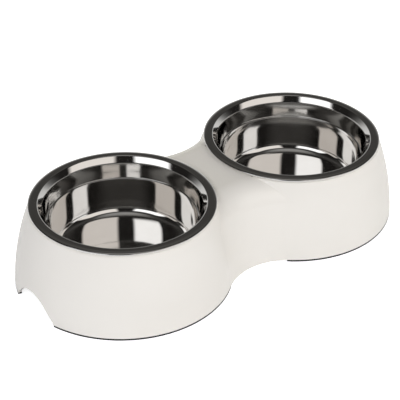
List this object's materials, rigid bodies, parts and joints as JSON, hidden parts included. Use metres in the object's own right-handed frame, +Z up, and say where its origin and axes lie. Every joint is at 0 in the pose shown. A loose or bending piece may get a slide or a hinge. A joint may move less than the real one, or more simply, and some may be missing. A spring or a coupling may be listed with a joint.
{
  "type": "double pet bowl",
  "caption": "Glossy moulded stand with a waist and finger arches, holding lift-out steel bowls side by side on anti-slip strips.",
  "frame": {"origin": "floor level at the middle of the stand, between the two bowls", "axes": "+X towards the bowl that is farther away and to the right in the picture, +Z up, -Y towards the camera's side"},
  "size_m": [0.326, 0.166, 0.0665],
  "materials": {
    "shell": "gloss",
    "steel": "polished",
    "foot": "matt"
  },
  "bodies": {
    "stand": {"stand_shell": "shell", "foot_left_front": "foot", "foot_left_back": "foot", "foot_right_front": "foot", "foot_right_back": "foot"},
    "left_bowl": {"bowl_left": "steel"},
    "right_bowl": {"bowl_right": "steel"}
  },
  "joints": [
    {"name": "bowl_left_lift", "type": "slide", "parent": "stand", "child": "left_bowl", "axis": [0, 0, 1], "range_m": [0, 0.06]},
    {"name": "bowl_right_lift", "type": "slide", "parent": "stand", "child": "right_bowl", "axis": [0, 0, 1], "range_m": [0, 0.06]}
  ]
}
